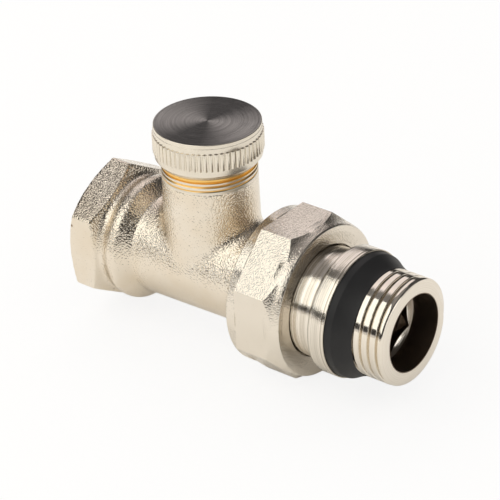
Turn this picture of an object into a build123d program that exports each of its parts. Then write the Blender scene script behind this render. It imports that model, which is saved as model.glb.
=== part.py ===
from build123d import *
import os
from math import cos, radians, sqrt

# Straight lockshield valve for a radiator: the pipe screws into the socket at -X,
# the tail at +X screws into the radiator and the capped boss stands along +Z.
# Origin where the run axis (X) crosses the boss axis (Z). Millimetres.

# Driving sizes of the forged body
SOCKET_END_X = -26.3
SOCKET_FLATS = 25.8
SOCKET_HEX_LENGTH = 5.6
SOCKET_FOOT_LENGTH = 1.3
SOCKET_FOOT_ROUND = 1.2
SOCKET_BEVEL = 1.2
SOCKET_FACE_R = 12.7
SOCKET_THREAD_R = 9.316
SOCKET_THREAD_LENGTH = 12.8
SOCKET_MOUTH_R = 10.7
NECK_R = 12.0
NECK_LENGTH = 1.2
NECK_ROUND = 2.0
SHOULDER_R = 12.6
SHOULDER_RISE_LENGTH = 1.4
SHOULDER_LENGTH = 1.5
SHOULDER_ROUND = 2.0
SHOULDER_END_ROUND = 1.6
WAIST_R = 10.2
WAIST_FALL_LENGTH = 2.6
WAIST_ROUND = 1.0
RUN_R = 9.75
BLEND_R = 2.8
SOCKET_CONE_LENGTH = 0.9
SOCKET_CONE_R = 6.9

# Driving sizes of the boss and its seat
BOSS_R = 9.28
BOSS_FOOT_R = 9.6
BOSS_THREAD_Z = 19.0
BOSS_TOP_Z = 27.6
BOSS_BEVEL = 0.7
SEAT_R = 4.2
SEAT_LIP_WIDTH = 0.9
SEAT_LIP_HEIGHT = 0.8
SEAT_Z = -0.4
PARTITION = 1.7
CHAMBER_R = 6.35
LOWER_WAY_HALF_WIDTH = 6.0
LOWER_WAY_HALF_HEIGHT = 2.75
LOWER_WAY_END_X = 4.6
OUTLET_WAY_R = 4.8
OUTLET_BORE_R = 7.4
OUTLET_BORE_X = 8.0

# Driving sizes of the union, the nut's and the tail's counted from the spigot's end
SPIGOT_X = 13.9
SPIGOT_END_X = 24.3
SPIGOT_RUN_OUT = 1.2
SPIGOT_BEVEL = 0.8
UNION_THREAD_R = 12.6
UNION_SEAT_R = 8.9
UNION_SEAT_DEPTH = 6.6
UNION_CONE_DEPTH = 1.9
UNION_CONE_MOUTH_R = 10.9
NUT_LENGTH = 12.28
NUT_FLATS = 30.5
NUT_SIDES = 8
NUT_COLLAR_R = 15.4
NUT_COLLAR_LENGTH = 2.3
NUT_COLLAR_BEVEL = 0.4
NUT_BEVEL_LENGTH = 3.08
NUT_LAND_LENGTH = 1.78
NUT_LAND_R = 15.4
NUT_FACE_R = 14.94
NUT_FACE_WIDTH = 1.3
NUT_FACE_DISH = 0.35
NUT_FACE_ROUND = 0.3
NUT_BORE_R = 11.19
NUT_LIP = 2.2
NUT_LEAD = 0.6
NUT_RELIEF_LENGTH = 1.2
NUT_RELIEF_DEPTH = 0.24

# Driving sizes of the tail
TAIL_LENGTH = 23.1
TAIL_TUBE_R = 10.85
TAIL_THREAD_R = 10.478
TAIL_THREAD_PITCH = 1.814
TAIL_GROOVE_WIDTH = 0.75
TAIL_GROOVE_DEPTH = 0.7
TAIL_END_LAND = 0.18
TAIL_RELIEF_R = 10.3
TAIL_BORE_R = 7.6
TAIL_BORE_LENGTH = 7.4
TAIL_HEX_FLATS = 12.6
TAIL_HEX_LENGTH = 10.0
TAIL_WAY_R = 6.2
TAIL_END_BEVEL = 1.0
TAIL_FLANGE_R = 11.9
TAIL_FLANGE_THICK = 0.63
TAIL_NOSE_DEPTH = 3.4
TAIL_NOSE_BEVEL = 0.3
TAIL_RING_DEPTH = 2.4
TAIL_RING_SECTION_R = 0.78

# Driving sizes of the sealing collar on the tail
COLLAR_DISTANCE = 7.9
COLLAR_LENGTH = 3.6
COLLAR_R = 12.58
COLLAR_BEVEL = 0.25
COLLAR_RECESS = 2.0
COLLAR_RIM = 0.55
SEAL_LENGTH = 5.0
SEAL_TAPER = 2.2
SEAL_SHOULDER_DROP = 0.1
SEAL_NOSE_R = 11.2
SEAL_NOSE_BEVEL = 0.4

# Driving sizes of the headwork in the boss
BONNET_R = 6.7
BONNET_FLANGE_R = 7.6
BONNET_FLANGE_THICK = 1.5
BONNET_TOP_DEPTH = 0.5
BONNET_BOTTOM_Z = 10.2
BONNET_NECK_R = 5.95
BONNET_NECK_LENGTH = 1.7
BONNET_SLOT = 1.8
BONNET_RING_SECTION_R = 0.6
SPINDLE_R = 4.15
SPINDLE_SINK = 2.3
SPINDLE_THREAD_R = 4.95
SPINDLE_THREAD_BEVEL = 0.5
SPINDLE_THREAD_LENGTH = 6.0
SPINDLE_SMOOTH_Z = 16.2
SPINDLE_RING_Z = (18.6, 20.4)
SPINDLE_RING_SECTION_R = 0.6
SPINDLE_FLANGE_R = 5.6
SPINDLE_FLANGE_THICK = 1.5
SPINDLE_KEY_FLATS = 5.0
SPINDLE_KEY_DEPTH = 3.5
SPINDLE_LIFT = 2.0
DISC_R = 5.55
DISC_THICK = 1.8
HOLDER_R = 6.0
HOLDER_PLATE = 1.5
HOLDER_HUB_R = 3.4
HOLDER_SKIRT = 0.9
HOLDER_BEVEL = 0.5
SCREW_SHOULDER_R = 1.5
SCREW_SHANK_R = 1.2
SCREW_SHANK_LENGTH = 3.5
SCREW_HEAD_R = 2.5
SCREW_HEAD_THICK = 1.0
SCREW_SLOT = 0.6
WASHER_R = 3.4
WASHER_THICK = 0.5

# Driving sizes of the cap, its lengths counted from its top
CAP_LENGTH = 7.8
CAP_TOP_R = 10.34
CAP_TOP_BEVEL = 0.15
CAP_ROOF = 1.4
CAP_BAND_LENGTH = 1.9
CAP_GRIP_R = 10.67
CAP_GRIP_LENGTH = 3.65
CAP_SKIRT_R = 9.6
CAP_SKIRT_BEVEL = 0.2
CAP_BULGE_R = 10.35
CAP_BULGE_LENGTH = 1.1
CAP_FLUTES = 60
CAP_FLUTE_DEPTH = 0.22
CAP_THREAD_LEAD = 0.5
CAP_SEAL_R = 8.7
CAP_SEAL_BORE_R = 7.9
CAP_SEAL_THICK = 1.1

# Small edges and clearances
EDGE = 0.3
THREAD_GAP = 0.06
SLIDE_GAP = 0.1
FACE_GAP = 0.05
RING_GAP = 0.05

PARTS = "parts"


def turned_x(*outline):
    """Solid turned about the run axis from (x, radius) points."""
    edge = Polyline(*[(x, 0, r) for x, r in outline], close=True)
    return revolve(make_face(edge), Axis.X)


def turned_z(*outline):
    """Solid turned about the boss axis from (radius, z) points."""
    edge = Polyline(*[(r, 0, z) for r, z in outline], close=True)
    return revolve(make_face(edge), Axis.Z)


def rod_x(radius, start, end):
    """Plain cylinder along the run axis."""
    return turned_x((start, 0), (start, radius), (end, radius), (end, 0))


def rod_z(radius, start, end):
    """Plain cylinder along the boss axis."""
    return turned_z((0, start), (radius, start), (radius, end), (0, end))


def prism_x(flats, sides, start, end, turn):
    """Regular prism along the run axis, its corner turned from +Y."""
    outline = RegularPolygon(flats / 2, sides, major_radius=False, rotation=turn)
    return extrude(Plane.YZ.offset(start) * outline, end - start)


def corner_radius(flats, sides):
    """Radius of a regular prism's corners from its width across flats."""
    return flats / 2 / cos(radians(180 / sides))


def save(shape, name):
    """Write one piece to its own file."""
    export_step(shape, os.path.join(PARTS, name + ".step"))


# Heights that follow from the seat and the lift
seat_floor_z = SEAT_Z - SEAT_LIP_HEIGHT
lower_way_z = seat_floor_z - PARTITION - LOWER_WAY_HALF_HEIGHT
outlet_way_z = seat_floor_z + OUTLET_WAY_R
disc_z = SEAT_Z + SPINDLE_LIFT + FACE_GAP
holder_z = disc_z + DISC_THICK
spindle_flange_z = BONNET_BOTTOM_Z - SPINDLE_LIFT - FACE_GAP - SPINDLE_FLANGE_THICK
bonnet_top_z = BOSS_TOP_Z - BONNET_TOP_DEPTH
spindle_top_z = bonnet_top_z - SPINDLE_SINK
bonnet_seat_z = bonnet_top_z - BONNET_FLANGE_THICK
bonnet_neck_z = bonnet_seat_z - BONNET_NECK_LENGTH
bonnet_ring_bore_r = BONNET_NECK_R + 2 * BONNET_RING_SECTION_R + RING_GAP
cap_roof_z = BOSS_TOP_Z + CAP_SEAL_THICK + 2 * FACE_GAP
cap_top_z = cap_roof_z + CAP_ROOF
cap_rim_z = cap_top_z - CAP_LENGTH

# Places along the run that follow from the socket's end
socket_foot_x = SOCKET_END_X + SOCKET_HEX_LENGTH + SOCKET_FOOT_LENGTH
neck_x = socket_foot_x + NECK_LENGTH
shoulder_x = neck_x + SHOULDER_RISE_LENGTH
shoulder_end_x = shoulder_x + SHOULDER_LENGTH
waist_x = shoulder_end_x + WAIST_FALL_LENGTH

# Places along the run that follow from the spigot's end
tail_flange_x = SPIGOT_END_X + SLIDE_GAP
nut_lip_x = tail_flange_x + TAIL_FLANGE_THICK + FACE_GAP
nut_front_x = nut_lip_x + NUT_LIP
nut_back_x = nut_front_x - NUT_LENGTH
tail_nose_x = SPIGOT_END_X - TAIL_NOSE_DEPTH
tail_ring_x = SPIGOT_END_X - TAIL_RING_DEPTH
tail_end_x = SPIGOT_END_X + TAIL_LENGTH
collar_x = SPIGOT_END_X + COLLAR_DISTANCE
seal_x = collar_x + COLLAR_LENGTH - COLLAR_RECESS
seal_front_x = seal_x + SEAL_LENGTH
tail_thread_end_x = tail_end_x - TAIL_END_BEVEL


def run_outline():
    """Outside of the run between the socket and the union spigot."""
    points = [
        (SOCKET_END_X + SOCKET_BEVEL, 0),
        (SOCKET_END_X + SOCKET_BEVEL, NECK_R),
        (neck_x, NECK_R),
        (shoulder_x, SHOULDER_R),
        (shoulder_end_x, SHOULDER_R),
        (waist_x, WAIST_R),
        (SPIGOT_X, RUN_R),
        (SPIGOT_X, 0),
    ]
    radii = [0, 0, NECK_ROUND, SHOULDER_ROUND, SHOULDER_END_ROUND, WAIST_ROUND, 0, 0]
    path = FilletPolyline(*[(x, 0, r) for x, r in points], radius=radii, close=True)
    return revolve(make_face(path), Axis.X)


def socket_hexagon():
    """Hexagon round the pipe socket, its corners turned off at both ends."""
    corner = corner_radius(SOCKET_FLATS, 6)
    start = SOCKET_END_X
    prism = prism_x(SOCKET_FLATS, 6, start, neck_x, 30)
    points = [
        (start, 0),
        (start, SOCKET_FACE_R),
        (start + SOCKET_BEVEL, corner),
        (start + SOCKET_HEX_LENGTH, corner),
        (socket_foot_x, NECK_R),
        (neck_x, NECK_R),
        (neck_x, 0),
    ]
    radii = [0, 0, 0, 0, SOCKET_FOOT_ROUND, 0, 0]
    path = FilletPolyline(*[(x, 0, r) for x, r in points], radius=radii, close=True)
    return prism & revolve(make_face(path), Axis.X)


def body_waterways():
    """Everything bored or cored out of the body."""
    socket_floor = SOCKET_END_X + SOCKET_THREAD_LENGTH
    mouth = SOCKET_MOUTH_R - SOCKET_THREAD_R
    socket = turned_x(
        (SOCKET_END_X, 0),
        (SOCKET_END_X, SOCKET_MOUTH_R),
        (SOCKET_END_X + mouth, SOCKET_THREAD_R),
        (socket_floor, SOCKET_THREAD_R),
        (socket_floor + SOCKET_CONE_LENGTH, SOCKET_CONE_R),
        (socket_floor + SOCKET_CONE_LENGTH, 0),
    )
    slot = SlotOverall(2 * LOWER_WAY_HALF_WIDTH, 2 * LOWER_WAY_HALF_HEIGHT)
    start = Plane.YZ.offset(socket_floor) * Pos(0, lower_way_z) * slot
    lower = extrude(start, LOWER_WAY_END_X - socket_floor)
    seat = rod_z(SEAT_R, lower_way_z, SEAT_Z)
    chamber = rod_z(CHAMBER_R, seat_floor_z, BONNET_BOTTOM_Z + 1)
    lip = rod_z(SEAT_R + SEAT_LIP_WIDTH, seat_floor_z, SEAT_Z)
    outlet = Pos(0, 0, outlet_way_z) * rod_x(OUTLET_WAY_R, 0, OUTLET_BORE_X + 1.5)
    bore = rod_x(OUTLET_BORE_R, OUTLET_BORE_X, SPIGOT_END_X)
    seat_x = SPIGOT_END_X - UNION_SEAT_DEPTH
    union = turned_x(
        (seat_x, 0),
        (seat_x, UNION_SEAT_R),
        (SPIGOT_END_X - UNION_CONE_DEPTH, UNION_SEAT_R),
        (SPIGOT_END_X, UNION_CONE_MOUTH_R),
        (SPIGOT_END_X, 0),
    )
    headwork = turned_z(
        (0, BONNET_BOTTOM_Z),
        (BONNET_R, BONNET_BOTTOM_Z),
        (BONNET_R, bonnet_neck_z),
        (bonnet_ring_bore_r, bonnet_neck_z),
        (bonnet_ring_bore_r, bonnet_seat_z),
        (BONNET_FLANGE_R + FACE_GAP, bonnet_seat_z),
        (BONNET_FLANGE_R + FACE_GAP, BOSS_TOP_Z),
        (0, BOSS_TOP_Z),
    )
    return socket + lower + (chamber + outlet - lip) + seat + bore + union + headwork


def valve_body():
    """Forged body: socket hexagon, run, boss and union spigot."""
    boss = turned_z(
        (0, 0),
        (BOSS_FOOT_R, 0),
        (BOSS_R, BOSS_THREAD_Z),
        (BOSS_R, BOSS_TOP_Z - BOSS_BEVEL),
        (BOSS_R - BOSS_BEVEL, BOSS_TOP_Z),
        (0, BOSS_TOP_Z),
    )
    run = run_outline()
    joined = run + boss
    seam = [
        e
        for e in joined.edges()
        if e.geom_type not in (GeomType.LINE, GeomType.CIRCLE)
        and 0 < e.center().Z < BOSS_THREAD_Z
    ]
    joined = fillet(seam, BLEND_R)
    spigot = turned_x(
        (SPIGOT_X, 0),
        (SPIGOT_X, UNION_THREAD_R - SPIGOT_RUN_OUT),
        (SPIGOT_X + SPIGOT_RUN_OUT, UNION_THREAD_R),
        (SPIGOT_END_X - SPIGOT_BEVEL, UNION_THREAD_R),
        (SPIGOT_END_X, UNION_THREAD_R - SPIGOT_BEVEL),
        (SPIGOT_END_X, 0),
    )
    return joined + socket_hexagon() + spigot - body_waterways()


def union_nut():
    """Octagonal union nut with a round collar at the back and a lip at the front."""
    corner = corner_radius(NUT_FLATS, NUT_SIDES)
    turn = 180 / NUT_SIDES
    bevel_x = nut_front_x - NUT_BEVEL_LENGTH
    collar_end_x = nut_back_x + NUT_COLLAR_LENGTH
    prism = prism_x(NUT_FLATS, NUT_SIDES, collar_end_x, nut_front_x, turn)
    land = rod_x(NUT_LAND_R, bevel_x, nut_front_x)
    turned = turned_x(
        (nut_back_x, 0),
        (nut_back_x, corner),
        (bevel_x, corner),
        (nut_front_x - NUT_LAND_LENGTH, NUT_LAND_R),
        (nut_front_x - NUT_FACE_ROUND, NUT_FACE_R + NUT_FACE_ROUND / 3),
        (nut_front_x, NUT_FACE_R - NUT_FACE_ROUND / 2),
        (nut_front_x, 0),
    )
    collar = turned_x(
        (nut_back_x, 0),
        (nut_back_x, NUT_COLLAR_R - NUT_COLLAR_BEVEL),
        (nut_back_x + NUT_COLLAR_BEVEL, NUT_COLLAR_R),
        (collar_end_x, NUT_COLLAR_R),
        (collar_end_x, 0),
    )
    thread_r = UNION_THREAD_R + THREAD_GAP
    relief_x = nut_lip_x - NUT_RELIEF_LENGTH
    hollow = turned_x(
        (nut_back_x, 0),
        (nut_back_x, thread_r + NUT_LEAD),
        (nut_back_x + NUT_LEAD, thread_r),
        (relief_x, thread_r),
        (relief_x, UNION_THREAD_R + NUT_RELIEF_DEPTH),
        (nut_lip_x, UNION_THREAD_R + NUT_RELIEF_DEPTH),
        (nut_lip_x, NUT_BORE_R),
        (nut_front_x - NUT_FACE_DISH, NUT_BORE_R),
        (nut_front_x, NUT_FACE_R - NUT_FACE_WIDTH),
        (nut_front_x, 0),
    )
    return ((prism + land) & turned) + collar - hollow


def thread_grooves():
    """Points of the tail thread's turns, drawn as rings and counted from its end."""
    half = TAIL_GROOVE_WIDTH / 2
    last = tail_thread_end_x - TAIL_END_LAND - half
    more = int((last - half - seal_front_x) / TAIL_THREAD_PITCH)
    points = []
    for turn in range(more, -1, -1):
        middle = last - turn * TAIL_THREAD_PITCH
        points.append((middle - half, TAIL_THREAD_R))
        points.append((middle, TAIL_THREAD_R - TAIL_GROOVE_DEPTH))
        points.append((middle + half, TAIL_THREAD_R))
    return points


def tailpiece():
    """Tail with its sealing nose, flange, thread and key hexagon."""
    nose_r = UNION_SEAT_R - SLIDE_GAP
    ring_half = TAIL_RING_SECTION_R + RING_GAP
    groove_r = nose_r - 2 * TAIL_RING_SECTION_R
    seat_x = SPIGOT_END_X - UNION_CONE_DEPTH
    outside = turned_x(
        (tail_nose_x, 0),
        (tail_nose_x, nose_r - TAIL_NOSE_BEVEL),
        (tail_nose_x + 2 / 3 * TAIL_NOSE_BEVEL, nose_r),
        (tail_ring_x - ring_half, nose_r),
        (tail_ring_x - ring_half, groove_r),
        (tail_ring_x + ring_half, groove_r),
        (tail_ring_x + ring_half, nose_r),
        (seat_x + SLIDE_GAP, nose_r),
        (tail_flange_x, UNION_CONE_MOUTH_R - SLIDE_GAP),
        (tail_flange_x, TAIL_FLANGE_R),
        (tail_flange_x + TAIL_FLANGE_THICK, TAIL_FLANGE_R),
        (tail_flange_x + TAIL_FLANGE_THICK, TAIL_TUBE_R),
        (collar_x, TAIL_TUBE_R),
        (collar_x, TAIL_RELIEF_R),
        (seal_front_x, TAIL_RELIEF_R),
        (seal_front_x, TAIL_THREAD_R),
        *thread_grooves(),
        (tail_thread_end_x, TAIL_THREAD_R),
        (tail_end_x, TAIL_THREAD_R - TAIL_END_BEVEL),
        (tail_end_x, 0),
    )
    bore_x = tail_end_x - TAIL_BORE_LENGTH
    hex_x = bore_x - TAIL_HEX_LENGTH
    bore = rod_x(TAIL_BORE_R, bore_x, tail_end_x)
    broach = prism_x(TAIL_HEX_FLATS, 6, hex_x, bore_x, 0)
    way = rod_x(TAIL_WAY_R, tail_nose_x, hex_x)
    return outside - bore - broach - way


def tail_o_ring():
    """Rubber ring in the groove of the tail's nose."""
    centre_r = UNION_SEAT_R - SLIDE_GAP - TAIL_RING_SECTION_R
    ring = Torus(centre_r, TAIL_RING_SECTION_R)
    return Pos(tail_ring_x, 0, 0) * Rot(0, 90, 0) * ring


def backing_ring():
    """Turned cup that backs the radiator seal, open to the front."""
    bore_r = TAIL_THREAD_R + SLIDE_GAP
    front = collar_x + COLLAR_LENGTH
    return turned_x(
        (collar_x, bore_r),
        (collar_x, COLLAR_R - COLLAR_BEVEL),
        (collar_x + COLLAR_BEVEL, COLLAR_R),
        (front - COLLAR_BEVEL, COLLAR_R),
        (front, COLLAR_R - COLLAR_BEVEL),
        (front, COLLAR_R - COLLAR_RIM),
        (seal_x, COLLAR_R - COLLAR_RIM),
        (seal_x, bore_r),
    )


def thread_seal():
    """Black rubber seal seated in the backing ring, tapered to the front."""
    bore_r = TAIL_RELIEF_R + RING_GAP
    outer_r = COLLAR_R - COLLAR_RIM - FACE_GAP
    front = seal_front_x - FACE_GAP
    return turned_x(
        (seal_x, bore_r),
        (seal_x, outer_r),
        (front - SEAL_TAPER, outer_r - SEAL_SHOULDER_DROP),
        (front - SEAL_NOSE_BEVEL, SEAL_NOSE_R),
        (front, SEAL_NOSE_R - SEAL_NOSE_BEVEL),
        (front, bore_r),
    )


def bonnet():
    """Brass headwork insert that carries the spindle."""
    bore_r = SPINDLE_R + SLIDE_GAP
    thread_r = SPINDLE_THREAD_R + THREAD_GAP
    outside = turned_z(
        (thread_r, BONNET_BOTTOM_Z),
        (BONNET_R, BONNET_BOTTOM_Z),
        (BONNET_R, bonnet_neck_z),
        (BONNET_NECK_R, bonnet_neck_z),
        (BONNET_NECK_R, bonnet_seat_z),
        (BONNET_FLANGE_R, bonnet_seat_z),
        (BONNET_FLANGE_R, bonnet_top_z - EDGE),
        (BONNET_FLANGE_R - EDGE, bonnet_top_z),
        (bore_r, bonnet_top_z),
        (bore_r, SPINDLE_SMOOTH_Z + EDGE),
        (thread_r, SPINDLE_SMOOTH_Z),
    )
    slot = Pos(0, 0, bonnet_top_z) * Box(4 * BONNET_R, BONNET_SLOT, BONNET_FLANGE_THICK)
    return outside - slot


def bonnet_o_ring():
    """Rubber ring under the flange of the headwork insert."""
    centre_r = BONNET_NECK_R + BONNET_RING_SECTION_R + RING_GAP / 2
    height = bonnet_seat_z - BONNET_RING_SECTION_R - RING_GAP
    return Pos(0, 0, height) * Torus(centre_r, BONNET_RING_SECTION_R)


def regulating_spindle():
    """Spindle with a key socket, ring grooves, a thread and a stop flange."""
    groove_r = SPINDLE_R - 2 * SPINDLE_RING_SECTION_R
    half = SPINDLE_RING_SECTION_R + RING_GAP
    flange_top = spindle_flange_z + SPINDLE_FLANGE_THICK
    low_ring, high_ring = SPINDLE_RING_Z
    thread_top = flange_top + SPINDLE_THREAD_LENGTH
    turned = turned_z(
        (0, spindle_flange_z),
        (SPINDLE_FLANGE_R, spindle_flange_z),
        (SPINDLE_FLANGE_R, flange_top),
        (SPINDLE_THREAD_R, flange_top),
        (SPINDLE_THREAD_R, thread_top - SPINDLE_THREAD_BEVEL),
        (SPINDLE_THREAD_R - SPINDLE_THREAD_BEVEL, thread_top),
        (SPINDLE_R, thread_top),
        (SPINDLE_R, low_ring - half),
        (groove_r, low_ring - half),
        (groove_r, low_ring + half),
        (SPINDLE_R, low_ring + half),
        (SPINDLE_R, high_ring - half),
        (groove_r, high_ring - half),
        (groove_r, high_ring + half),
        (SPINDLE_R, high_ring + half),
        (SPINDLE_R, spindle_top_z - EDGE),
        (SPINDLE_R - EDGE, spindle_top_z),
        (0, spindle_top_z),
    )
    key_z = spindle_top_z - SPINDLE_KEY_DEPTH
    key = RegularPolygon(SPINDLE_KEY_FLATS / 2, 6, major_radius=False)
    socket = extrude(Plane.XY.offset(key_z) * key, SPINDLE_KEY_DEPTH)
    hole = rod_z(SCREW_SHANK_R, spindle_flange_z, spindle_flange_z + SCREW_SHANK_LENGTH)
    return turned - socket - hole


def spindle_o_ring(height):
    """Rubber ring in one of the spindle's grooves."""
    centre_r = SPINDLE_R - SPINDLE_RING_SECTION_R
    return Pos(0, 0, height) * Torus(centre_r, SPINDLE_RING_SECTION_R)


def disc_holder():
    """Brass cup that presses the seat disc and stays still as the spindle turns."""
    bore_r = SCREW_SHOULDER_R + SLIDE_GAP
    hub_top = spindle_flange_z - FACE_GAP
    return turned_z(
        (bore_r, holder_z),
        (DISC_R, holder_z),
        (DISC_R, holder_z - HOLDER_SKIRT),
        (HOLDER_R, holder_z - HOLDER_SKIRT),
        (HOLDER_R, holder_z + HOLDER_PLATE - HOLDER_BEVEL),
        (HOLDER_R - HOLDER_BEVEL, holder_z + HOLDER_PLATE),
        (HOLDER_HUB_R, holder_z + HOLDER_PLATE),
        (HOLDER_HUB_R, hub_top),
        (bore_r, hub_top),
    )


def seat_disc():
    """Rubber disc that closes on the seat."""
    bore_r = SCREW_SHOULDER_R + SLIDE_GAP
    return turned_z(
        (bore_r, disc_z),
        (DISC_R - EDGE, disc_z),
        (DISC_R, disc_z + EDGE),
        (DISC_R, holder_z),
        (bore_r, holder_z),
    )


def disc_washer():
    """Washer between the seat disc and the head of its screw."""
    top = disc_z - FACE_GAP
    return turned_z(
        (SCREW_SHOULDER_R, top - WASHER_THICK),
        (WASHER_R, top - WASHER_THICK),
        (WASHER_R, top),
        (SCREW_SHOULDER_R, top),
    )


def disc_screw():
    """Slotted shoulder screw that holds the disc and its holder to the spindle."""
    head_top = disc_z - FACE_GAP - WASHER_THICK
    head_z = head_top - SCREW_HEAD_THICK
    turned = turned_z(
        (0, head_z),
        (SCREW_HEAD_R - EDGE, head_z),
        (SCREW_HEAD_R, head_z + EDGE),
        (SCREW_HEAD_R, head_top),
        (SCREW_SHOULDER_R, head_top),
        (SCREW_SHOULDER_R, spindle_flange_z),
        (SCREW_SHANK_R, spindle_flange_z),
        (SCREW_SHANK_R, spindle_flange_z + SCREW_SHANK_LENGTH),
        (0, spindle_flange_z + SCREW_SHANK_LENGTH),
    )
    slot = Pos(0, 0, head_z) * Box(3 * SCREW_HEAD_R, SCREW_SLOT, SCREW_HEAD_THICK)
    return turned - slot


def cap():
    """Screw cap with a knurled grip and a tapered skirt."""
    grip_top = cap_top_z - CAP_BAND_LENGTH
    grip_foot = grip_top - CAP_GRIP_LENGTH
    band_r = CAP_GRIP_R - CAP_FLUTE_DEPTH
    outside = turned_z(
        (0, cap_rim_z),
        (CAP_SKIRT_R - CAP_SKIRT_BEVEL, cap_rim_z),
        (CAP_SKIRT_R, cap_rim_z + CAP_SKIRT_BEVEL),
        (CAP_BULGE_R, cap_rim_z + CAP_BULGE_LENGTH),
        (band_r, grip_foot),
        (CAP_GRIP_R, grip_foot + CAP_FLUTE_DEPTH),
        (CAP_GRIP_R, grip_top - CAP_FLUTE_DEPTH),
        (band_r, grip_top),
        (CAP_TOP_R, cap_top_z - CAP_TOP_BEVEL),
        (CAP_TOP_R - CAP_TOP_BEVEL, cap_top_z),
        (0, cap_top_z),
    )
    middle = Pos(CAP_GRIP_R, 0, grip_foot + CAP_GRIP_LENGTH / 2) * Rot(0, 0, 45)
    side = CAP_FLUTE_DEPTH * sqrt(2)
    cutter = middle * Box(side, side, CAP_GRIP_LENGTH)
    flutes = [Rot(0, 0, 360 / CAP_FLUTES * i) * cutter for i in range(CAP_FLUTES)]
    hollow_r = BOSS_R + THREAD_GAP
    hollow = turned_z(
        (0, cap_rim_z),
        (hollow_r + CAP_THREAD_LEAD / 2, cap_rim_z),
        (hollow_r, cap_rim_z + CAP_THREAD_LEAD),
        (hollow_r, cap_roof_z),
        (0, cap_roof_z),
    )
    return outside - flutes - hollow


def cap_seal():
    """Flat ring between the cap's roof and the rim of the boss."""
    bottom = BOSS_TOP_Z + FACE_GAP
    top = bottom + CAP_SEAL_THICK
    return turned_z(
        (CAP_SEAL_BORE_R, bottom),
        (CAP_SEAL_R, bottom),
        (CAP_SEAL_R, top),
        (CAP_SEAL_BORE_R, top),
    )


os.makedirs("parts", exist_ok=True)
save(valve_body(), "valve_body")
save(bonnet(), "bonnet")
save(bonnet_o_ring(), "bonnet_o_ring")
save(regulating_spindle(), "regulating_spindle")
for place, height in zip(("lower", "upper"), SPINDLE_RING_Z):
    save(spindle_o_ring(height), place + "_spindle_o_ring")
save(disc_holder(), "disc_holder")
save(seat_disc(), "seat_disc")
save(disc_washer(), "disc_washer")
save(disc_screw(), "disc_screw")
save(cap(), "cap")
save(cap_seal(), "cap_seal")
save(union_nut(), "union_nut")
save(tailpiece(), "tailpiece")
save(tail_o_ring(), "tail_o_ring")
save(backing_ring(), "backing_ring")
save(thread_seal(), "thread_seal")
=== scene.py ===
import bmesh
import bpy
import math
from contextlib import contextmanager
from functools import partial
from mathutils import Matrix, Vector


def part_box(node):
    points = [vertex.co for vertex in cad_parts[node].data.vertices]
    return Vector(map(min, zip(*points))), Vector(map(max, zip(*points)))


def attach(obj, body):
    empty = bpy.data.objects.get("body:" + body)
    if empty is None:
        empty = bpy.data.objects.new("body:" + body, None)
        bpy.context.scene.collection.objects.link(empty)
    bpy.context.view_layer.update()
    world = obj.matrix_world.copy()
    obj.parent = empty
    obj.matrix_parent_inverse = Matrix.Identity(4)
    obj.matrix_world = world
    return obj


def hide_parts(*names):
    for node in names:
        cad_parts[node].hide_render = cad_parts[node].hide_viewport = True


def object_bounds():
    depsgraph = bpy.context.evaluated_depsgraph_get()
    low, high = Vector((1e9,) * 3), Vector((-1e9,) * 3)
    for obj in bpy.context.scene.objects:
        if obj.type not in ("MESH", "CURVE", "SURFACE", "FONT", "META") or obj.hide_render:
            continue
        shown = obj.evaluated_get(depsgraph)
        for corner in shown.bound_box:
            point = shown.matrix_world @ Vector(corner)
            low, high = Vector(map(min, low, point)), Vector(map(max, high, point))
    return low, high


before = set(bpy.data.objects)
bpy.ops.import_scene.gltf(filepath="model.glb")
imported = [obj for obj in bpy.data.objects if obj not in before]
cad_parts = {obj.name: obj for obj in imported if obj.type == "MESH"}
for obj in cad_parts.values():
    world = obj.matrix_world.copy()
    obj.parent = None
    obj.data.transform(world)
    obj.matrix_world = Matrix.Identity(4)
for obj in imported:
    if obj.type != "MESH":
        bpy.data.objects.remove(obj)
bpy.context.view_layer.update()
scene = bpy.context.scene
MM = 0.001


# The photographer's view of the valve: from above its tail end, on a long lens.
# The camera stands on the line that the drawing's circles and corners were matched
# to, so its place is worked out from angles and an aim beside the valve's centre.
VIEW_AZIMUTH = math.radians(39.82)
VIEW_HEIGHT = math.radians(29.93)
VIEW_ROLL = math.radians(-2.57)
VIEW_DISTANCE = 0.48342
VIEW_LENS = 179.02
AIM_RIGHT = 6.872 * MM
AIM_UP = 1.769 * MM
NEAREST_SEEN = 0.01

back = Vector((
    math.sin(VIEW_AZIMUTH) * math.cos(VIEW_HEIGHT),
    -math.cos(VIEW_AZIMUTH) * math.cos(VIEW_HEIGHT),
    math.sin(VIEW_HEIGHT),
))
level = Vector((math.cos(VIEW_AZIMUTH), math.sin(VIEW_AZIMUTH), 0))
rise = back.cross(level)
right = math.cos(VIEW_ROLL) * level + math.sin(VIEW_ROLL) * rise
up = math.cos(VIEW_ROLL) * rise - math.sin(VIEW_ROLL) * level
camera = bpy.data.objects.new("camera", bpy.data.cameras.new("camera"))
camera.data.lens = VIEW_LENS
camera.data.clip_start = NEAREST_SEEN
camera.matrix_world = Matrix((
    (right.x, up.x, back.x, 0),
    (right.y, up.y, back.y, 0),
    (right.z, up.z, back.z, 0),
    (0, 0, 0, 1),
))
camera.location = back * VIEW_DISTANCE + right * AIM_RIGHT + up * AIM_UP
scene.collection.objects.link(camera)
scene.camera = camera


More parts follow.
